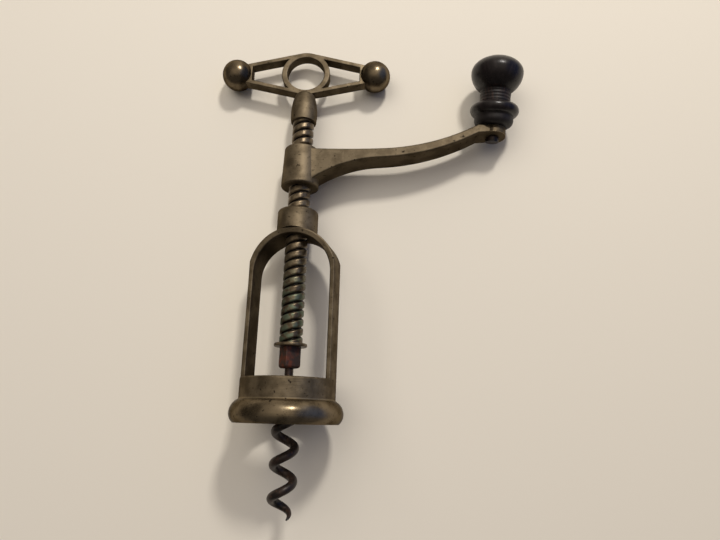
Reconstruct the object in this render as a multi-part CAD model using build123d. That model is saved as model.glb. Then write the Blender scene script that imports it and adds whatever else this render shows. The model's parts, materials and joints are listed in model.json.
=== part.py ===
from build123d import *
import math
import os

# A crank corkscrew: a bell-shaped frame stands on the bottle, a screw with a worm below and
# a T-handle above runs through it, and a crank whose hub is the nut lifts the screw.
# Millimetres. Z is the screw's axis, z = 0 is the bottom of the bell, the arch lies along X.

# Fits and cuts
running_clearance = 0.05
seat_clearance = 0.03
end_play = 0.1
overrun = 2.0

# Bell: flange, ring and the ledge inside that stops on the bottle's lip
bottle_bore_dia = 30.8
bell_wall = 2.4
ring_height = 16.0
ring_edge_round = 0.6
ledge_thick = 3.5
ledge_bore_dia = 25.0
flange_dia = 41.8
flange_height = 8.4
flange_widest_height = 3.4
flange_foot_dia = 38.6

# Arched strap and the collar on its crown
leg_height = 40.0
strap_depth = 9.4
crown_depth = 15.0
crown_flare_height = 22.0
strap_edge_round = 0.5
collar_dia = 16.3
collar_height = 8.6
collar_edge_round = 1.2

# Screw, with a spigot below the thread and a tang above it
shaft_dia = 8.9
spigot_dia = 5.0
spigot_seat = 3.5
tang_dia = 6.0
tang_length = 10.0

# Stop washer and the square block that holds the worm
washer_dia = 12.6
washer_thick = 1.2
washer_edge_round = 0.4
block_lift = 3.9
block_side = 6.2
block_height = 7.9
block_corner_round = 1.0
block_edge_round = 0.4
block_turn = 45.0

# Worm
wire_dia = 3.2
worm_dia = 10.5
worm_pitch = 11.3
worm_start_angle = 91.0
lead_in_height = 11.3
quarter_turns = 11
taper_turns = 0.55
taper_lofts = 2
stations_per_loft = 3
tip_dia = 0.6
tip_hook = 1.2
shank_seat = 3.5
shank_length = 3.5

# Crank: hub, arm and pad
hub_lift = 10.3
hub_height = 17.3
hub_bottom_dia = 15.4
hub_top_dia = 14.2
hub_edge_round = 0.9
crank_throw = 79.7
crank_rest_angle = 10.0
arm_root_depth = 11.2
arm_tip_depth = 9.4
arm_edge_round = 0.6
arm_root_top_step = 1.3
arm_root_bottom_step = 1.6
arm_dip_reach = 33.8
arm_dip_drop = 1.0
arm_waist_reach = 32.8
arm_waist_height = 4.28
arm_rise = 3.2
pad_lift = 10.1
pad_dia = 10.4
pad_thick = 3.05
pad_reach = 6.9
heel_reach = 6.85
heel_depth = 3.6
pad_lean = 3.3

# Knob, along its own axis from its foot up, and the bent pin that it turns on
pin_lean = 3.9
pin_tilt = 14.2
knob_base_dia = 16.0
knob_base_height = 3.9
knob_base_round = 2.5
bead_dia = 20.0
bead_root_dia = 16.7
bead_bottom = 4.5
bead_height = 4.6
neck_dia = 12.5
neck_flare_dia = 12.7
neck_height = 2.95
head_dia = 21.4
head_drop = 9.7
head_rise = 6.7
pin_dia = 4.0
pin_tail_dia = 5.4
pin_tail_length = 1.9
pin_head_dia = 7.0
pin_head_height = 1.4
pin_head_gap = 0.3

# T-handle
handle_lift = 12.6
handle_rest_angle = 10.5
handle_depth = 4.6
handle_edge_round = 0.4
eye_dia = 16.0
eye_rim = 2.4
bar_height = 1.9
bar_reach = 26.5
bar_end_rise = 4.3
bar_end_drop = 4.6
window_reach = 23.2
ball_dia = 13.2
ball_offset = 29.9
socket_bottom_dia = 10.6
socket_waist_dia = 11.1
socket_waist_height = 5.4
socket_top_dia = 8.6
socket_length = 12.5
socket_crown = 1.8
socket_crown_share = 0.75
socket_edge_round = 0.4
socket_to_eye = 0.9

# Radii and heights that follow
bore_r = bottle_bore_dia / 2
ring_r = bore_r + bell_wall
shaft_r = shaft_dia / 2
wire_r = wire_dia / 2
eye_r = eye_dia / 2
eye_ring_r = eye_r + eye_rim
arch_z = ring_height + leg_height
crown_z = arch_z + ring_r
collar_z = crown_z + collar_height
block_z = ring_height + block_lift
washer_z = block_z + block_height + end_play
thread_bottom_z = washer_z + washer_thick + end_play
hub_z = collar_z + hub_lift
hub_top_z = hub_z + hub_height
pad_z = hub_top_z + pad_lift
handle_z = hub_top_z + handle_lift
eye_z = handle_z + socket_length + socket_crown + socket_to_eye + eye_r
helix_z = block_z - shank_length - lead_in_height


def up(across, height):
    """Point of the XZ plane."""
    return Vector(across, 0, height)


def turned(*outline):
    """Solid turned about Z from a closed outline in the XZ plane."""
    return revolve(make_face(list(outline)), Axis.Z)


def plate(depth, *outline):
    """Flat plate of a closed outline in the XZ plane, half its depth on each side."""
    return extrude(make_face(list(outline)), amount=depth / 2, dir=(0, 1, 0), both=True)


def upright_hole(radius, bottom, top):
    """Cylinder on Z between two heights, for a hole."""
    return Pos(0, 0, bottom) * Cylinder(radius, top - bottom, align=(Align.CENTER, Align.CENTER, Align.MIN))


def round_plate_edges(solid, radius):
    """Rounds the front and back edges of a plate, whose sides may taper a little."""
    facing_share = 0.99
    faces = [face for face in solid.faces() if abs(face.normal_at().Y) > facing_share]
    return fillet([edge for face in faces for edge in face.edges()], radius)


def bell_ring():
    """Flange with a rolled edge, ring above it and the bottle ledge inside."""
    foot_r = flange_foot_dia / 2
    ledge_r = ledge_bore_dia / 2
    ledge_z = ring_height - ledge_thick
    widest = up(flange_dia / 2, flange_widest_height)
    shoulder = up(ring_r, flange_height)
    rim_in = up(ring_r - ring_edge_round, ring_height)
    rim_out = up(ring_r, ring_height - ring_edge_round)
    inside = Polyline(up(foot_r, 0), up(bore_r, 0), up(bore_r, ledge_z), up(ledge_r, ledge_z),
                      up(ledge_r, ring_height), rim_in)
    rim = TangentArc(rim_in, rim_out, tangent=(1, 0, 0))
    wall = Line(rim_out, shoulder)
    roll = TangentArc(widest, shoulder, tangent=(0, 0, 1))
    foot = TangentArc(widest, up(foot_r, 0), tangent=(0, 0, -1))
    return turned(inside, rim, wall, roll, foot)


def strap_profile(radius, foot_z):
    """Open outline of an arch of this radius on two straight legs."""
    left = up(-radius, arch_z)
    right = up(radius, arch_z)
    return [Line(up(-radius, foot_z), left), ThreePointArc(left, up(0, arch_z + radius), right),
            Line(right, up(radius, foot_z))]


def strap():
    """Two legs and an arch of the ring's own wall, widened at the crown to carry the collar."""
    foot_z = ring_height - ledge_thick
    feet = [Line(up(side * bore_r, foot_z), up(side * ring_r, foot_z)) for side in (-1, 1)]
    arch = plate(crown_depth, *strap_profile(ring_r, foot_z), *strap_profile(bore_r, foot_z), *feet)
    half = strap_depth / 2
    crown = crown_depth / 2
    flare_z = crown_z - crown_flare_height
    sides = []
    for side in (-1, 1):
        low = Vector(0, side * half, flare_z)
        sides.append(Line(Vector(0, side * half, foot_z), low))
        sides.append(TangentArc(low, Vector(0, side * crown, crown_z), tangent=(0, 0, 1)))
    across = [Line(Vector(0, -half, foot_z), Vector(0, half, foot_z)),
              Line(Vector(0, -crown, crown_z), Vector(0, crown, crown_z))]
    side_view = extrude(make_face(sides + across), amount=ring_r + overrun, dir=(1, 0, 0), both=True)
    lathe = upright_hole(ring_r, foot_z - overrun, crown_z + overrun)
    legs = arch & side_view & lathe
    rims = [edge for edge in legs.edges() if abs(edge.center().Y) > half - strap_edge_round]
    return fillet(rims, strap_edge_round)


def collar():
    """Round collar that sits in a saddle on the arch."""
    radius = collar_dia / 2
    top_in = up(radius - collar_edge_round, collar_z)
    top_out = up(radius, collar_z - collar_edge_round)
    body = turned(Polyline(top_in, up(0, collar_z), up(0, arch_z), up(radius, arch_z), top_out),
                  TangentArc(top_in, top_out, tangent=(1, 0, 0)))
    saddle = Pos(0, 0, arch_z) * Rot(90, 0, 0) * Cylinder(ring_r, collar_dia + overrun)
    return body - saddle


def bell_frame():
    bore = upright_hole(shaft_r + running_clearance, arch_z, collar_z + overrun)
    return bell_ring() + strap() + collar() - bore


def threaded_shaft():
    """Shaft at the thread's crest size, with the spigot and the tang."""
    spigot_end = block_z + block_height - spigot_seat
    return turned(Polyline(up(0, spigot_end), up(spigot_dia / 2, spigot_end),
                           up(spigot_dia / 2, thread_bottom_z), up(shaft_r, thread_bottom_z),
                           up(shaft_r, handle_z), up(tang_dia / 2, handle_z),
                           up(tang_dia / 2, handle_z + tang_length), up(0, handle_z + tang_length),
                           close=True))


def stop_washer():
    disc = upright_hole(washer_dia / 2, washer_z, washer_z + washer_thick)
    disc = fillet(disc.edges().filter_by(GeomType.CIRCLE), washer_edge_round)
    hole = upright_hole(spigot_dia / 2 + running_clearance, washer_z - overrun, washer_z + washer_thick + overrun)
    return disc - hole


def worm_socket():
    """Square block with rounded lower corners, bored above for the spigot and below for the worm."""
    block = Box(block_side, block_side, block_height, align=(Align.CENTER, Align.CENTER, Align.MIN))
    block = fillet(block.edges().filter_by(Axis.Z), block_edge_round)
    block = fillet(block.faces().sort_by(Axis.Z)[0].edges(), block_corner_round)
    block = Pos(0, 0, block_z) * Rot(0, 0, block_turn) * block
    top = block_z + block_height
    spigot_hole = upright_hole(spigot_dia / 2 + seat_clearance, top - spigot_seat, top + overrun)
    shank_hole = upright_hole(wire_r + seat_clearance, block_z - overrun, block_z + shank_seat)
    return block - spigot_hole - shank_hole


def worm_point(turn):
    """Centre of the wire after this many turns down a right-hand helix, hooked in at the tip."""
    angle = math.radians(worm_start_angle - 360 * turn)
    hooked = max(0, turn - quarter_turns / 4) / taper_turns
    radius = (worm_dia - wire_dia) / 2 - tip_hook * hooked * hooked
    return Vector(radius * math.cos(angle), radius * math.sin(angle), helix_z - worm_pitch * turn)


def worm_tangent(turn):
    """Direction of the wire there, going down."""
    step_share = 1e-4
    return (worm_point(turn + step_share) - worm_point(turn - step_share)).normalized()


def biarc(start, start_tangent, end, end_tangent):
    """Two arcs that meet smoothly and have the given ends and end directions."""
    span = end - start
    both = start_tangent + end_tangent
    bend = 2 * (1 - start_tangent.dot(end_tangent))
    along = span.dot(both)
    reach = (math.sqrt(along * along + bend * span.dot(span)) - along) / bend
    first_corner = start + start_tangent * reach
    second_corner = end - end_tangent * reach
    middle = (first_corner + second_corner) * 0.5
    return [TangentArc(start, middle, tangent=start_tangent),
            TangentArc(middle, end, tangent=second_corner - first_corner)]


def print_worm_gap(path):
    """Prints the least gap between stretches of the wire's path that lie over half a turn apart."""
    points = [edge @ share for edge in path for share in (0, 0.25, 0.5, 0.75)]
    apart = math.pi * worm_dia / 2
    gaps = []
    for index, point in enumerate(points):
        run = 0
        for before, after in zip(points[index:], points[index + 1:]):
            run += (after - before).length
            if run > apart:
                gaps.append((after - point).length)
    print("worm: least gap to itself", round(min(gaps) - wire_dia, 2), "mm")


def worm_taper():
    """Last part of a turn, lofted through circles that shrink to the point."""
    circles = []
    stations = taper_lofts * stations_per_loft
    for station in range(stations + 1):
        share = station / stations
        turn = quarter_turns / 4 + taper_turns * share
        centre = worm_point(turn)
        face = Plane(centre, x_dir=(centre.X, centre.Y, 0), z_dir=worm_tangent(turn))
        circles.append(face * Circle(wire_r + (tip_dia / 2 - wire_r) * share * share))
    firsts = range(0, stations, stations_per_loft)
    return [loft(circles[first:first + stations_per_loft + 1]) for first in firsts]


def worm():
    """Straight shank, a lead-in that leaves the axis, full turns, and a tapered point."""
    shank_top = up(0, block_z + shank_seat)
    shank_end = up(0, helix_z + lead_in_height)
    down = Vector(0, 0, -1)
    path = [Line(shank_top, shank_end), *biarc(shank_end, down, worm_point(0), worm_tangent(0))]
    for quarter in range(quarter_turns):
        start = quarter / 4
        end = start + 1 / 4
        path += biarc(worm_point(start), worm_tangent(start), worm_point(end), worm_tangent(end))
    print("worm: tightest arc", round(min(arc.radius for arc in path[1:]), 2), "mm")
    print_worm_gap(path)
    section = Plane(shank_top, z_dir=down) * Circle(wire_r)
    return sweep(section, Wire(path)) + worm_taper()


def pad_frame():
    """Place at the middle of the pad's top, leaning outward with the end of the arm."""
    return Pos(crank_throw, 0, pad_z) * Rot(0, pad_lean, 0)


def pin_frame():
    """Place at the middle of the pad's top, along the pin: leaning outward and tilted to the front."""
    return Pos(crank_throw, 0, pad_z) * Rot(0, pin_lean, 0) * Rot(pin_tilt, 0, 0)


def pad_point(across, height):
    """Point of the crank's own XZ plane, measured from the middle of the leaning pad."""
    return (pad_frame() * Pos(across, 0, height)).position


def crank_arm_band():
    """Curved arm, thin at its waist, deep at the hub and narrower in plan towards the pad."""
    dip = up(arm_dip_reach, hub_top_z - arm_dip_drop)
    waist = up(arm_waist_reach, hub_top_z - arm_dip_drop - arm_waist_height)
    root_top = up(0, hub_top_z - arm_root_top_step)
    root_bottom = up(shaft_r, hub_z + arm_root_bottom_step)
    root_corner = up(0, hub_z + arm_root_bottom_step)
    tip = pad_point(-pad_reach, 0)
    middle = pad_point(0, 0)
    under = pad_point(0, -pad_thick)
    heel = up(crank_throw - heel_reach, pad_z - heel_depth)
    outward = Vector(1, 0, 0).rotate(Axis.Y, -arm_rise)
    band = plate(arm_root_depth,
                 TangentArc(dip, root_top, tangent=-outward), Polyline(root_top, root_corner, root_bottom),
                 TangentArc(waist, root_bottom, tangent=-outward), TangentArc(waist, heel, tangent=outward),
                 Polyline(heel, under, middle, tip), TangentArc(dip, tip, tangent=outward))
    root = arm_root_depth / 2
    end = arm_tip_depth / 2
    plan = make_face(Polyline((0, -root), (crank_throw, -end), (crank_throw, end), (0, root), close=True))
    return round_plate_edges(band & extrude(plan, pad_z + pad_reach), arm_edge_round)


def crank_hub():
    low = hub_bottom_dia / 2
    high = hub_top_dia / 2
    low_in = up(low - hub_edge_round, hub_z)
    low_out = up(low, hub_z + hub_edge_round)
    high_in = up(high - hub_edge_round, hub_top_z)
    high_out = up(high, hub_top_z - hub_edge_round)
    return turned(Polyline(high_in, up(0, hub_top_z), up(0, hub_z), low_in),
                  TangentArc(low_in, low_out, tangent=(1, 0, 0)), Line(low_out, high_out),
                  TangentArc(high_in, high_out, tangent=(1, 0, 0)))


def crank_pad():
    """Round pad that carries the knob."""
    return pad_frame() * upright_hole(pad_dia / 2, -pad_thick, 0)


def crank_arm():
    bore = upright_hole(shaft_r + running_clearance, hub_z - overrun, hub_top_z + overrun)
    pin_hole = pin_frame() * Cylinder(pin_dia / 2 + seat_clearance, pad_thick * 2 + overrun)
    tail_r = pin_tail_dia / 2 + pin_head_gap
    spot_face = pin_frame() * upright_hole(tail_r, -pad_thick - overrun, -pad_thick)
    crank = crank_hub() + crank_arm_band() + crank_pad() - bore - pin_hole - spot_face
    return Rot(0, 0, crank_rest_angle) * crank


def knob_height():
    """Height of the knob along its own axis, over the neck's flare and the head."""
    flare_share = neck_flare_dia / head_dia
    neck_top = bead_bottom + bead_height + 2 * neck_height
    return neck_top + head_drop * math.sqrt(1 - flare_share ** 2) + head_rise


def knob_seat():
    """Height along the pin at which the foot of the askew knob just clears the pad's rim."""
    askew = math.hypot(pin_tilt, pad_lean - pin_lean)
    return pad_dia / 2 * math.sin(math.radians(askew)) + end_play


def wooden_knob():
    """Turned knob: base, bead, short neck and a round head, flatter above, bored for its pin."""
    base_r = knob_base_dia / 2
    root_r = bead_root_dia / 2
    flare_r = neck_flare_dia / 2
    top = knob_height()
    head_z = top - head_rise
    bead_top = bead_bottom + bead_height
    neck_z = bead_top + neck_height
    flare_z = neck_z + neck_height
    base_in = up(base_r - knob_base_round, 0)
    base_out = up(base_r, knob_base_round)
    half_angle = math.acos(neck_flare_dia / head_dia) / 2
    swell = up(head_dia / 2, head_z - head_drop * math.tan(half_angle))
    lower = Bezier(up(flare_r, flare_z), swell, up(head_dia / 2, head_z), weights=[1, math.cos(half_angle), 1])
    upper = Plane.XZ * EllipticalCenterArc((0, head_z), head_dia / 2, head_rise, start_angle=0, arc_size=90)
    knob = turned(Polyline(up(0, top), up(0, 0), base_in), TangentArc(base_in, base_out, tangent=(1, 0, 0)),
                  Polyline(base_out, up(base_r, knob_base_height), up(root_r, bead_bottom)),
                  ThreePointArc(up(root_r, bead_bottom), up(bead_dia / 2, bead_bottom + bead_height / 2),
                                up(root_r, bead_top)),
                  Line(up(root_r, bead_top), up(flare_r, bead_top)),
                  ThreePointArc(up(flare_r, bead_top), up(neck_dia / 2, neck_z), up(flare_r, flare_z)),
                  lower, upper)
    bore = upright_hole(pin_dia / 2 + running_clearance, -overrun, top)
    sink = upright_hole(pin_head_dia / 2 + pin_head_gap, top - pin_head_height - end_play, top + overrun)
    place = Rot(0, 0, crank_rest_angle) * pin_frame() * Pos(0, 0, knob_seat())
    return place * (knob - bore - sink)


def knob_pin():
    """Pin through knob and pad, with a domed head above and a riveted tail below."""
    head_top = knob_seat() + knob_height()
    head_z = head_top - pin_head_height + end_play
    tail_z = -pad_thick - pin_tail_length
    head_r = pin_head_dia / 2
    rim = up(head_r, head_z + pin_head_height / 2)
    pin = turned(Polyline(up(0, head_top), up(0, tail_z), up(pin_tail_dia / 2, tail_z),
                          up(pin_tail_dia / 2, -pad_thick), up(pin_dia / 2, -pad_thick),
                          up(pin_dia / 2, head_z), up(head_r, head_z), rim),
                 TangentArc(up(0, head_top), rim, tangent=(1, 0, 0)))
    return Rot(0, 0, crank_rest_angle) * pin_frame() * pin


def tangent_from(end):
    """Where the tangent line from a point outside meets the eye's ring, measured from its centre."""
    lean = math.copysign(math.acos(eye_ring_r / end.length), end.Z)
    angle = math.atan2(end.Z, end.X) + lean
    return up(eye_ring_r * math.cos(angle), eye_ring_r * math.sin(angle))


def bar_inner_height(end, reach):
    """Height of a bar's inner edge at this distance from the eye's centre."""
    root = tangent_from(end)
    slope = (end.Z - root.Z) / (end.X - root.X)
    return end.Z + slope * (reach - end.X) - math.copysign(bar_height, end.Z)


def handle_plate():
    """Eye with two tapering arms, each opened by a window with a blunt outer end."""
    rise = up(bar_reach, bar_end_rise)
    drop = up(bar_reach, -bar_end_drop)
    top = tangent_from(rise)
    bottom = tangent_from(drop)
    mirrored = [up(-point.X, point.Z) for point in (top, rise, drop, bottom)]
    body = plate(handle_depth, Polyline(top, rise, drop, bottom), Polyline(*mirrored),
                 ThreePointArc(top, up(0, eye_ring_r), mirrored[0]),
                 ThreePointArc(bottom, up(0, -eye_ring_r), mirrored[3]))
    inner = eye_ring_r / 2
    corners = [up(reach, bar_inner_height(end, reach))
               for end, reach in ((rise, inner), (rise, window_reach), (drop, window_reach), (drop, inner))]
    disc = Rot(90, 0, 0) * Cylinder(eye_ring_r, handle_depth + 2 * overrun)
    window = plate(handle_depth + overrun, Polyline(*corners, close=True)) - disc
    eye = Rot(90, 0, 0) * Cylinder(eye_r, handle_depth + overrun)
    body = body - window - mirror(window, Plane.YZ) - eye
    return Pos(0, 0, eye_z) * round_plate_edges(body, handle_edge_round)


def handle_socket():
    """Barrel below the eye, swelling towards its lower end, with a domed top."""
    low = socket_bottom_dia / 2
    high = socket_top_dia / 2
    top_z = handle_z + socket_length
    crown = up(0, top_z + socket_crown)
    low_in = up(low - socket_edge_round, handle_z)
    low_out = up(low, handle_z + socket_edge_round)
    dome = up(high * socket_crown_share, top_z + socket_crown * socket_crown_share)
    return turned(Polyline(crown, up(0, handle_z), low_in), TangentArc(low_in, low_out, tangent=(1, 0, 0)),
                  ThreePointArc(low_out, up(socket_waist_dia / 2, handle_z + socket_waist_height), up(high, top_z)),
                  ThreePointArc(up(high, top_z), dome, crown))


def top_handle():
    ball = Pos(ball_offset, 0, eye_z) * Sphere(ball_dia / 2)
    balls = [ball, Rot(0, 0, 180) * ball]
    tang_hole = upright_hole(tang_dia / 2 + seat_clearance, handle_z - overrun, handle_z + tang_length)
    handle = handle_plate() + handle_socket() + balls - tang_hole
    return Rot(0, 0, handle_rest_angle) * handle


os.makedirs("parts", exist_ok=True)
for make_node in (bell_frame, threaded_shaft, stop_washer, worm_socket, worm, crank_arm, wooden_knob, knob_pin,
                  top_handle):
    export_step(make_node(), f"parts/{make_node.__name__}.step")
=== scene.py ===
import json
import math

import bpy
import numpy as np
from mathutils import Matrix, Vector


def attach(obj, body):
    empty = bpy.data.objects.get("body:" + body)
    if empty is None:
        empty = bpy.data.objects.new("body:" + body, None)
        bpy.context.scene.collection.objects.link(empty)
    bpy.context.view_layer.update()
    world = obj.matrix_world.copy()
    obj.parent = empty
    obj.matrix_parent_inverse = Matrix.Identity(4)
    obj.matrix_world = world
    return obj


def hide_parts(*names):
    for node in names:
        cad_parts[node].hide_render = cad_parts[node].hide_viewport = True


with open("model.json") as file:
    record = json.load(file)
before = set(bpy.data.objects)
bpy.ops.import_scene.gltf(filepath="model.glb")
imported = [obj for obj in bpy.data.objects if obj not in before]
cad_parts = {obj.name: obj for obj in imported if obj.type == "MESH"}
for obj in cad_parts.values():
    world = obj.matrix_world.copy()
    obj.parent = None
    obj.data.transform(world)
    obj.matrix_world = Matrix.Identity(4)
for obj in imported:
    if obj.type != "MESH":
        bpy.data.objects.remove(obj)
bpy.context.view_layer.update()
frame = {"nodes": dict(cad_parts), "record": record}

# A crank corkscrew of aged brass, iron and black wood, lying against pale paper.
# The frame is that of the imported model: Z is the screw's axis, the arch lies along X, and the
# picture is taken from the side of -Y. Lengths are in millimetres, and MM turns them into metres.
MM = 0.001
TURN = 2 * math.pi
SHARP_ANGLE = math.radians(42)

# The picture: its width and focal length in pixels, and the camera's place and axes
PHOTO_WIDTH_PX = 720
FOCAL_PX = 541
SENSOR = 36.0
CAMERA_PLACE = np.array((67.3, -195.5, 2.0))
CAMERA_RIGHT = np.array((0.97962, 0.19931, 0.02486))
CAMERA_UP = np.array((0.02976, -0.26644, 0.96339))
NEAREST_SEEN = 10.0
LAMP_TARGET_HEIGHT = 70.0

# Paper: it touches the back of the flange and both balls of the T-handle, and lies close behind the knob
PAPER_TURN = math.radians(10.5)
BALL_HEIGHT = 145.8
BALL_BACK = 6.7
FLANGE_HEIGHT = 3.4
FLANGE_BACK = 21.0
PAPER_HALF = 900.0
PAPER_TONE = (226, 219, 206)

# Screw: the phase of its thread is a share of the pitch, and its two plain ends sit in their seats
CREST_RADIUS = 4.45
THREAD_DEPTH = 0.8
THREAD_PITCH = 3.5
THREAD_STARTS = 2
THREAD_PHASE = -0.93
ROOT_SHARPNESS = 5.0
THREAD_BOTTOM = 29.2
THREAD_TOP = 122.6
SPIGOT_RADIUS = 2.5
SPIGOT_END = 24.3
TANG_RADIUS = 3.0
TANG_END = 132.6
THREAD_ROWS = 520
SHAFT_COLUMNS = 64

# Worm: a straight shank, turns of the full wire and a tapered point that hooks inward
WIRE_RADIUS = 1.6
WORM_RADIUS = 3.65
WORM_PITCH = 11.3
WORM_START_ANGLE = math.radians(91)
WORM_TOP = 5.1
SHANK_TOP = 23.4
SHANK_END = 16.4
FULL_TURNS = 2.75
TAPER_TURNS = 0.55
SLIGHT_TURN = 1e-4
TIP_RADIUS = 0.3
TIP_HOOK = 1.2
ROWS_PER_TURN = 96
ARC_ROWS = 24
WIRE_COLUMNS = 40

# Knob: the middle of its pad, the axis that it turns on, and heights along that axis
KNOB_PIVOT = (78.49, 13.84, 120.1)
KNOB_AXIS = (0.107532, -0.23013, 0.9672)
BEAD_LOW = 5.6
NECK_LOW = 10.3
NECK_HIGH = 16.9
RING_SPACING = 1.3

# Brass: heights above the foot, and reaches from the screw's axis, at which its finish, its painted shade
# and its painted highlight change
FLANGE_TOP = 8.3
SEAM_LOW = 8.15
SEAM_HIGH = 8.75
BELL_REACH = 18.5
INWARD_REACH = 7.0
ARM_LOW = 87.0
ARM_HIGH = 122.3
HUB_REACH = 8.65
BALL_LOW = 132.5
BALL_REACH = 24.0
VERDIGRIS_LOW = 29.4
VERDIGRIS_HIGH = 54.0


# Meshes
def put_object(name, data):
    """New object in the scene, at the origin."""
    made = bpy.data.objects.new(name, data)
    bpy.context.scene.collection.objects.link(made)
    return made


def put_piece(name, points, faces):
    """Piece from points in millimetres and lists of faces, smooth but for its sharp edges."""
    mesh = bpy.data.meshes.new(name)
    mesh.from_pydata((points * MM).tolist(), [], faces)
    mesh.polygons.foreach_set("use_smooth", np.ones(len(mesh.polygons), bool))
    mesh.set_sharp_from_angle(angle=SHARP_ANGLE)
    return put_object(name, mesh)


def ring_faces(rows, columns):
    """Quads between closed rings of points, and a fan at each end to a pole. The poles follow the rings."""
    row, column = np.meshgrid(np.arange(rows - 1), np.arange(columns), indexing="ij")
    after = (column + 1) % columns
    quads = np.stack((row * columns + column, row * columns + after,
                      (row + 1) * columns + after, (row + 1) * columns + column), axis=-1)
    around = np.arange(columns)
    onward = (around + 1) % columns
    last = (rows - 1) * columns
    first_fan = np.stack((onward, around, np.full(columns, rows * columns)), axis=-1)
    last_fan = np.stack((last + around, last + onward, np.full(columns, rows * columns + 1)), axis=-1)
    return quads.reshape(-1, 4).tolist() + first_fan.tolist() + last_fan.tolist()


def put_rings(name, rings):
    """Closed piece from points in rows of rings, with a pole in the middle of each end."""
    rows, columns = rings.shape[:2]
    points = np.vstack((rings.reshape(-1, 3), rings[0].mean(axis=0), rings[-1].mean(axis=0)))
    return put_piece(name, points, ring_faces(rows, columns))


def stand_for(piece, node, body):
    """The piece takes the node's place and moves with its body, and the node is hidden."""
    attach(piece, body)
    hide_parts(node)


def add_thread():
    """Screw with a right-hand thread: radius = crest - depth * root, where
    root = ((1 + cos(turn * u)) / 2) ** sharpness and u = z / pitch - starts * angle / turn - phase.
    The plain spigot below and the tang above are rings of their own. The root is kept for the painted shade
    in the thread's roots."""
    angle = np.linspace(0, TURN, SHAFT_COLUMNS, endpoint=False)
    height = np.linspace(THREAD_BOTTOM, THREAD_TOP, THREAD_ROWS)
    z, around = np.meshgrid(height, angle, indexing="ij")
    u = z / THREAD_PITCH - THREAD_STARTS * around / TURN - THREAD_PHASE
    root = ((1 + np.cos(TURN * u)) / 2) ** ROOT_SHARPNESS
    ends = np.array(((SPIGOT_RADIUS, SPIGOT_END), (SPIGOT_RADIUS, THREAD_BOTTOM),
                     (TANG_RADIUS, THREAD_TOP), (TANG_RADIUS, TANG_END)))
    plain_radius, plain_z = (np.repeat(column[:, None], SHAFT_COLUMNS, axis=1) for column in ends.T)
    radius = np.concatenate((plain_radius[:2], CREST_RADIUS - THREAD_DEPTH * root, plain_radius[2:]))
    z = np.concatenate((plain_z[:2], z, plain_z[2:]))
    rings = np.stack((radius * np.cos(angle), radius * np.sin(angle), z), axis=-1)
    piece = put_rings("screw_thread", rings)
    kept = piece.data.attributes.new("root", "FLOAT", "POINT")
    kept.data.foreach_set("value", np.pad(root.ravel(), (2 * SHAFT_COLUMNS, 2 * SHAFT_COLUMNS + 2)))
    return piece


def arc_between(start, corner, end):
    """Circular arc that leaves start towards the corner and arrives at end from it: the mean of the three by
    weights of (1 - share) ** 2, 2 * cosine * share * (1 - share) and share ** 2. The cosine is that of the
    angle at start between the ways to the corner and to end."""
    share = np.linspace(0, 1, ARC_ROWS, endpoint=False)[:, None]
    reach, chord = corner - start, end - start
    cosine = reach @ chord / (np.linalg.norm(reach) * np.linalg.norm(chord))
    near, middle, far = (1 - share) ** 2, 2 * cosine * share * (1 - share), share ** 2
    return (near * start + middle * corner + far * end) / (near + middle + far)


def helix(turns):
    """Centre of the wire: angle = start - turn * turns, z = top - pitch * turns, and in the taper the radius
    closes in by hook * share ** 2."""
    angle = WORM_START_ANGLE - TURN * turns
    share = np.clip((turns - FULL_TURNS) / TAPER_TURNS, 0, None)
    radius = WORM_RADIUS - TIP_HOOK * share ** 2
    z = WORM_TOP - WORM_PITCH * turns
    return np.stack((radius * np.cos(angle), radius * np.sin(angle), z), axis=-1)


def lead_in():
    """Centre of the wire from the shank to the helix: two arcs that meet halfway between their corners. Each
    corner lies a reach from its end, where bend * reach ** 2 + 2 * (span . both) * reach = span . span."""
    start = np.array((0, 0, SHANK_END))
    down = np.array((0, 0, -1.0))
    first, second = helix(np.array((0, SLIGHT_TURN)))
    onward = (second - first) / np.linalg.norm(second - first)
    span, both = first - start, down + onward
    bend = 2 * (1 - down @ onward)
    reach = (math.sqrt((span @ both) ** 2 + bend * span @ span) - span @ both) / bend
    upper, lower = start + down * reach, first - onward * reach
    middle = (upper + lower) / 2
    return np.vstack((arc_between(start, upper, middle), arc_between(middle, lower, first)))


def add_worm():
    """Round wire along a straight shank, two arcs that leave the axis, a right-hand helix and a tapered
    point. A ring is centre + radius * (across * cos + beside * sin), where across is square to the wire and
    to X, along which the wire never runs. The wire's radius falls to the tip's by share ** 2."""
    turns = np.linspace(0, FULL_TURNS + TAPER_TURNS, int(ROWS_PER_TURN * (FULL_TURNS + TAPER_TURNS)))
    centre = np.vstack(((0, 0, SHANK_TOP), lead_in(), helix(turns)))
    share = np.clip((turns - FULL_TURNS) / TAPER_TURNS, 0, 1)
    radius = np.full(len(centre), WIRE_RADIUS)
    radius[-len(turns):] += (TIP_RADIUS - WIRE_RADIUS) * share ** 2
    along = np.gradient(centre, axis=0)
    along /= np.linalg.norm(along, axis=1, keepdims=True)
    across = np.cross(along, (1.0, 0, 0))
    across /= np.linalg.norm(across, axis=1, keepdims=True)
    beside = np.cross(along, across)
    angle = np.linspace(0, TURN, WIRE_COLUMNS, endpoint=False)[None, :, None]
    rings = across[:, None] * np.cos(angle) + beside[:, None] * np.sin(angle)
    return put_rings("worm_wire", centre[:, None] + rings * radius[:, None, None])


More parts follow.
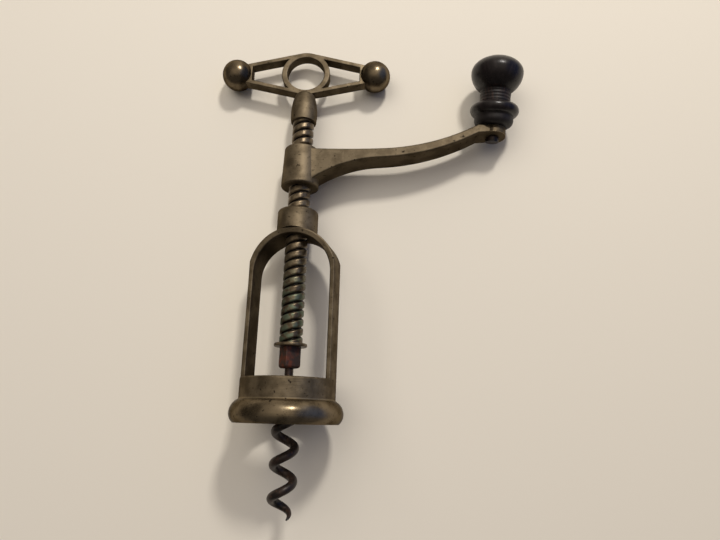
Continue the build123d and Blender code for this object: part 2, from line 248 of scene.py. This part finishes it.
def add_paper():
    """Flat square sheet: top + half * (side * along + drop * down), where side and drop are 1 or -1. It is
    level along the T-handle, and lies behind the axis by ball_back at the balls' height and by flange_back
    at the flange's."""
    along = np.array((math.cos(PAPER_TURN), math.sin(PAPER_TURN), 0))
    behind = np.array((-math.sin(PAPER_TURN), math.cos(PAPER_TURN), 0))
    top = behind * BALL_BACK + (0, 0, BALL_HEIGHT)
    down = behind * FLANGE_BACK + (0, 0, FLANGE_HEIGHT) - top
    down /= np.linalg.norm(down)
    side_and_drop = np.array(((-1, -1), (-1, 1), (1, 1), (1, -1)))
    corners = top + PAPER_HALF * side_and_drop @ np.stack((along, down))
    return put_piece("paper_sheet", corners, [(0, 1, 2, 3)])


# Shaders
class Field:
    """One output of a shader, with arithmetic that adds the nodes for it."""

    def __init__(self, socket):
        self.socket = socket

    def node(self, kind, inputs, out=0, **settings):
        """Field from a new node in this field's own shader."""
        return new_node(self.socket.id_data, kind, inputs, out, **settings)

    def math(self, operation, first, second):
        """Field from a Math node."""
        return self.node("ShaderNodeMath", {0: first, 1: second}, operation=operation)

    def vector(self, operation, other=(0, 0, 0)):
        """Field from a Vector Math node on this field and another. A result that is a number is output 1."""
        out = 1 if operation in ("LENGTH", "DOT_PRODUCT") else 0
        return self.node("ShaderNodeVectorMath", {0: self, 1: other}, out, operation=operation)

    def __add__(self, other):
        return self.math("ADD", self, other)

    def __sub__(self, other):
        return self.math("SUBTRACT", self, other)

    def __rsub__(self, other):
        return self.math("SUBTRACT", other, self)

    def __mul__(self, other):
        return self.math("MULTIPLY", self, other)

    __radd__ = __add__
    __rmul__ = __mul__


def feed(socket, value):
    """Links a field to an input, or sets a plain value on it."""
    if isinstance(value, Field):
        socket.id_data.links.new(value.socket, socket)
    else:
        socket.default_value = value


def new_node(tree, kind, inputs=None, out=0, **settings):
    """Field from a new node of any kind: its settings come first, then its inputs by name or number."""
    made = tree.nodes.new(kind)
    for key, value in settings.items():
        setattr(made, key, value)
    for key, value in (inputs or {}).items():
        feed(made.inputs[key], value)
    return Field(made.outputs[out])


def tone(red, green, blue):
    """Colour from display values of 0 to 255."""
    display = np.array((red, green, blue)) / 255
    linear = np.where(display <= 0.04045, display / 12.92, ((display + 0.055) / 1.055) ** 2.4)
    return (*linear.tolist(), 1.0)


def step_up(value, low, high):
    """Smooth step from 0 at low to 1 at high."""
    return value.node("ShaderNodeMapRange", {"Value": value, "From Min": low, "From Max": high},
                      interpolation_type="SMOOTHSTEP")


def past(length, edge, blur):
    """Smooth step from 0 before an edge to 1 after it, blurred by this many millimetres to each side."""
    return step_up(length, (edge - blur) * MM, (edge + blur) * MM)


def mix(share, first, second):
    """Colour between two others, which are inputs 6 and 7 of a Mix node, with the result on output 2."""
    return share.node("ShaderNodeMix", {0: share, 6: first, 7: second}, out=2, data_type="RGBA")


def noise(place, size, detail=3.0, stretch=(1, 1, 1)):
    """Noise with features of about this size in millimetres, stretched along the axes."""
    scaled = place.vector("MULTIPLY", [1 / (size * MM * factor) for factor in stretch])
    return place.node("ShaderNodeTexNoise", {"Vector": scaled, "Scale": 1.0, "Detail": detail})


def bump(height, depth):
    """Normal from a height field in which 1 stands for this many millimetres."""
    return height.node("ShaderNodeBump", {"Height": height, "Distance": depth * MM, "Strength": 1.0})


def part_of(vector, index):
    """One of a vector's three parts."""
    return vector.node("ShaderNodeSeparateXYZ", {0: vector}, out=index)


def new_finish(name):
    """New material: itself, the inputs of its shader, and the place in the piece's own coordinates."""
    material = bpy.data.materials.new(name)
    material.use_nodes = True
    tree = material.node_tree
    place = new_node(tree, "ShaderNodeTexCoord", out="Object")
    return material, tree.nodes["Principled BSDF"].inputs, place


def worn_edges(tree, radius):
    """Large along edges, where the normal averaged over this many millimetres leaves the surface's own."""
    own = new_node(tree, "ShaderNodeNewGeometry", out="Normal")
    rounded = own.node("ShaderNodeBevel", {"Radius": radius * MM}, samples=6)
    return 1 - own.vector("DOT_PRODUCT", rounded)


def aged_brass():
    """Olive-brown patina in blotches, with turning marks round the axis, dark specks and pits. The edges are
    rubbed to a paler metal, a painted highlight runs along the flange's joint to the ring, and the flange
    and the balls are smooth. Painted shade darkens what faces down, less on the flange and the balls, and
    what faces inward; the arm, beyond its hub, is darker on its other faces too."""
    material, shader, place = new_finish("aged brass")
    dark_patina, pale_patina, speck = tone(94, 83, 66), tone(126, 113, 92), tone(60, 50, 37)
    shade_and_arm_colour, bare_metal, pit = tone(44, 37, 28), tone(168, 152, 124), tone(38, 31, 25)
    normal = new_node(material.node_tree, "ShaderNodeTexCoord", out="Normal")
    level = place.vector("MULTIPLY", (1, 1, 0))
    reach, height = level.vector("LENGTH"), part_of(place, 2)
    outward, upward = level.vector("DOT_PRODUCT", normal), part_of(normal, 2)

    blotch = noise(place, 6, detail=5)
    fine = noise(place, 0.7)
    pits = step_up(noise(place, 1.6, detail=2), 0.66, 0.74)
    marks = (1 - past(reach, BELL_REACH, 0.2)) * (1 - step_up(upward * upward, 0.1, 0.4))
    turned = noise(place, 0.3, detail=2, stretch=(30, 30, 1)) * marks

    balls = past(reach, BALL_REACH, 0.5) * past(height, BALL_LOW, 2.5)
    polish = 1 - past(height, FLANGE_TOP, 0.5) + balls
    # Painted highlight: a paler line along the flange's joint to the ring, added to the rubbed edges.
    seam_highlight = past(height, SEAM_LOW, 0.15) * (1 - past(height, SEAM_HIGH, 0.15))
    edge = worn_edges(material.node_tree, 0.45)
    rubbed = step_up(edge * (blotch + 0.5), 0.06, 0.35) + seam_highlight * 0.5

    # Painted shade: darker on faces that look down, less so on the smooth flange and balls, and on faces
    # that look inward towards the axis. The arm, beyond its hub, is darker on its other faces too.
    below = step_up(upward * -1, 0.3, 0.8)
    inside = past(outward * -1, INWARD_REACH, 3)
    arm = past(height, ARM_LOW, 1) * (1 - past(height, ARM_HIGH, 0.2)) * past(reach, HUB_REACH, 0.85)
    shade_and_arm_darkening = below * (0.5 - polish * 0.25) + inside * 0.5 + arm * (1 - below) * 0.35

    patina = mix(step_up(blotch, 0.36, 0.64), dark_patina, pale_patina)
    stained = mix(step_up(fine, 0.6, 0.72) * 0.5, patina, speck)
    # Base colour: the patina darkened by the painted shade, and paled on the rubbed edges and along the
    # painted highlight.
    worn_and_shaded = mix(rubbed, mix(shade_and_arm_darkening, stained, shade_and_arm_colour), bare_metal)
    feed(shader["Base Color"], mix(pits * 0.8, worn_and_shaded, pit))
    feed(shader["Metallic"], 0.92)
    feed(shader["Specular Tint"], (0.35, 0.34, 0.33, 1))
    feed(shader["Roughness"], blotch * 0.14 + fine * 0.1 + pits * 0.2 + 0.44 - polish * 0.27)
    relief = fine * 0.5 + turned * 3 + noise(place, 2.5) * 1.2 - pits * 1.5
    feed(shader["Normal"], bump(relief, depth=0.02))
    return material


def screw_brass():
    """Dark brass with wear and verdigris towards the thread's lower end, and painted shade that makes the
    thread's roots nearly black.
    """
    material, shader, place = new_finish("screw brass")
    dark_crest, pale_crest = tone(84, 72, 56), tone(118, 104, 82)
    verdigris, root_shade = tone(96, 106, 88), tone(26, 21, 16)
    root = new_node(material.node_tree, "ShaderNodeAttribute", out="Fac", attribute_name="root")
    height = part_of(place, 2)
    blotch = noise(place, 2.2, detail=4)
    low = (1 - past(height, VERDIGRIS_HIGH, 12)) * past(height, VERDIGRIS_LOW, 0.2)
    crest = mix(step_up(blotch, 0.35, 0.65), dark_crest, pale_crest)
    crest = mix(low * step_up(blotch, 0.42, 0.6), crest, verdigris)
    # Painted shade: the thread's roots are darkened nearly to black.
    feed(shader["Base Color"], mix(step_up(root, 0.25, 0.75), crest, root_shade))
    feed(shader["Metallic"], 0.75)
    feed(shader["Roughness"], blotch * 0.3 + 0.22)
    feed(shader["Normal"], bump(noise(place, 0.7), depth=0.03))
    return material


def rusty_iron():
    """Dark iron with red-brown rust in patches."""
    material, shader, place = new_finish("rusty iron")
    iron, rust = tone(50, 38, 32), tone(96, 48, 30)
    blotch = noise(place, 3.0, detail=4)
    feed(shader["Base Color"], mix(step_up(blotch, 0.4, 0.62), iron, rust))
    feed(shader["Metallic"], 0.3)
    feed(shader["Roughness"], blotch * 0.3 + 0.4)
    feed(shader["Normal"], bump(noise(place, 0.6), depth=0.05))
    return material


def dark_iron():
    """Near-black iron with a brown film and small rust spots."""
    material, shader, place = new_finish("dark iron")
    iron, brown, rust = tone(28, 23, 20), tone(48, 35, 29), tone(80, 54, 40)
    blotch = noise(place, 4.0, detail=4)
    spots = step_up(noise(place, 0.9, detail=2), 0.58, 0.7) * 0.6
    film = mix(step_up(blotch, 0.35, 0.65), iron, brown)
    feed(shader["Base Color"], mix(spots, film, rust))
    feed(shader["Metallic"], 0.4)
    feed(shader["Roughness"], blotch * 0.3 + 0.28)
    feed(shader["Normal"], bump(noise(place, 0.8), depth=0.05))
    return material


def ebonised_wood():
    """Turned wood, stained black, polished on the bead and the head, with brown rubbed through and turning
    marks on the neck."""
    material, shader, place = new_finish("ebonised wood")
    black, dark_stain, brown = tone(22, 18, 18), tone(34, 28, 28), tone(54, 38, 32)
    along = place.vector("SUBTRACT", [part * MM for part in KNOB_PIVOT]).vector("DOT_PRODUCT", KNOB_AXIS)
    neck = past(along, NECK_LOW, 0.2) * (1 - past(along, NECK_HIGH, 1))
    dull = neck + 1 - past(along, BEAD_LOW, 0.3)
    rings = along.math("SINE", along * (TURN / (RING_SPACING * MM)), 0) * neck
    grain = noise(place, 1.2, detail=4, stretch=(1, 1, 8))
    stain = mix(neck, dark_stain, brown)
    feed(shader["Base Color"], mix(step_up(grain, 0.45, 0.75), black, stain))
    feed(shader["Specular IOR Level"], 0.32)
    feed(shader["Roughness"], grain * 0.2 + 0.2 + dull * 0.24)
    feed(shader["Normal"], bump(rings * 0.5 + grain * 0.3, depth=0.15))
    return material


def paper_finish():
    """Warm off-white paper, clear from behind so that it hides nothing from that side."""
    material, shader, _ = new_finish("paper")
    feed(shader["Base Color"], tone(*PAPER_TONE))
    feed(shader["Roughness"], 0.9)
    feed(shader["Specular IOR Level"], 0.1)
    tree = material.node_tree
    front = Field(tree.nodes["Principled BSDF"].outputs[0])
    clear = new_node(tree, "ShaderNodeBsdfTransparent")
    behind = new_node(tree, "ShaderNodeNewGeometry", out="Backfacing")
    shown = new_node(tree, "ShaderNodeMixShader", {0: behind, 1: front, 2: clear})
    feed(tree.nodes["Material Output"].inputs["Surface"], shown)
    return material


# Camera and light
def add_camera():
    """Camera with the picture's lens, at the place and turn fitted to the picture."""
    lens = bpy.data.cameras.new("camera")
    lens.sensor_width = SENSOR
    lens.lens = FOCAL_PX / PHOTO_WIDTH_PX * SENSOR
    lens.clip_start = NEAREST_SEEN * MM
    camera = put_object("camera", lens)
    axes = np.stack((CAMERA_RIGHT, CAMERA_UP, np.cross(CAMERA_RIGHT, CAMERA_UP)), axis=1)
    camera.matrix_world = Matrix.Translation((CAMERA_PLACE * MM).tolist()) @ Matrix(axes.tolist()).to_4x4()
    bpy.context.scene.camera = camera


def add_lamp(name, turn, rise, distance, size, power, colour):
    """Square lamp that faces the middle of the object, turned to the right of the front and raised, both in
    degrees, with its power in watts."""
    lamp = bpy.data.lights.new(name, "AREA")
    lamp.size = size * MM
    lamp.energy = power
    lamp.color = colour
    turn, rise = math.radians(turn), math.radians(rise)
    toward = Vector((math.sin(turn) * math.cos(rise), -math.cos(turn) * math.cos(rise), math.sin(rise)))
    holder = put_object(name, lamp)
    holder.rotation_euler = toward.to_track_quat("Z", "Y").to_euler()
    holder.location = toward * distance * MM + Vector((0, 0, LAMP_TARGET_HEIGHT * MM))
    return holder


def add_world():
    """Room light: warm from the front, dimmer from the left, cool from the right and dark from below. Beyond
    the sheet, the camera sees the paper's own tone."""
    world = bpy.data.worlds.new("room")
    bpy.context.scene.world = world
    world.use_nodes = True
    tree = world.node_tree
    left, front = tone(64, 58, 51), tone(228, 216, 200)
    right, floor = tone(84, 110, 164), tone(92, 88, 84)
    direction = new_node(tree, "ShaderNodeTexCoord", out="Generated")
    across, upward = part_of(direction, 0), part_of(direction, 2)
    room = mix(step_up(across, -0.95, 0.3), left, front)
    room = mix(step_up(across, 0.5, 0.7), room, right)
    room = mix(step_up(upward * -1, 0.0, 0.6), room, floor)
    seen = new_node(tree, "ShaderNodeLightPath", out="Is Camera Ray")
    feed(tree.nodes["Background"].inputs["Color"], mix(seen, room, tone(*PAPER_TONE)))


# The object, its finishes and the paper
finishes = {"aged_brass": aged_brass(), "screw_brass": screw_brass(), "rusty_iron": rusty_iron(),
            "dark_iron": dark_iron(), "ebonised_wood": ebonised_wood()}
thread = add_thread()
stand_for(thread, "threaded_shaft", "shaft")
wire = add_worm()
stand_for(wire, "worm", "shaft")
paper = add_paper()
paper.data.materials.append(paper_finish())
pieces = {**frame["nodes"], "threaded_shaft": thread, "worm": wire}
for subpart in frame["record"]["subparts"]:
    materials = pieces[subpart["node"]].data.materials
    materials.clear()
    materials.append(finishes[subpart["material_slot"]])

# The view
add_camera()
add_lamp("key lamp", turn=29, rise=35.5, distance=800, size=90, power=3.5, colour=(1.0, 0.96, 0.9))
fill = add_lamp("fill lamp", turn=-12, rise=15, distance=1000, size=800, power=3.5,
                colour=(1.0, 0.97, 0.93))
fill.visible_glossy = False
add_world()
bpy.context.scene.view_settings.view_transform = "Standard"
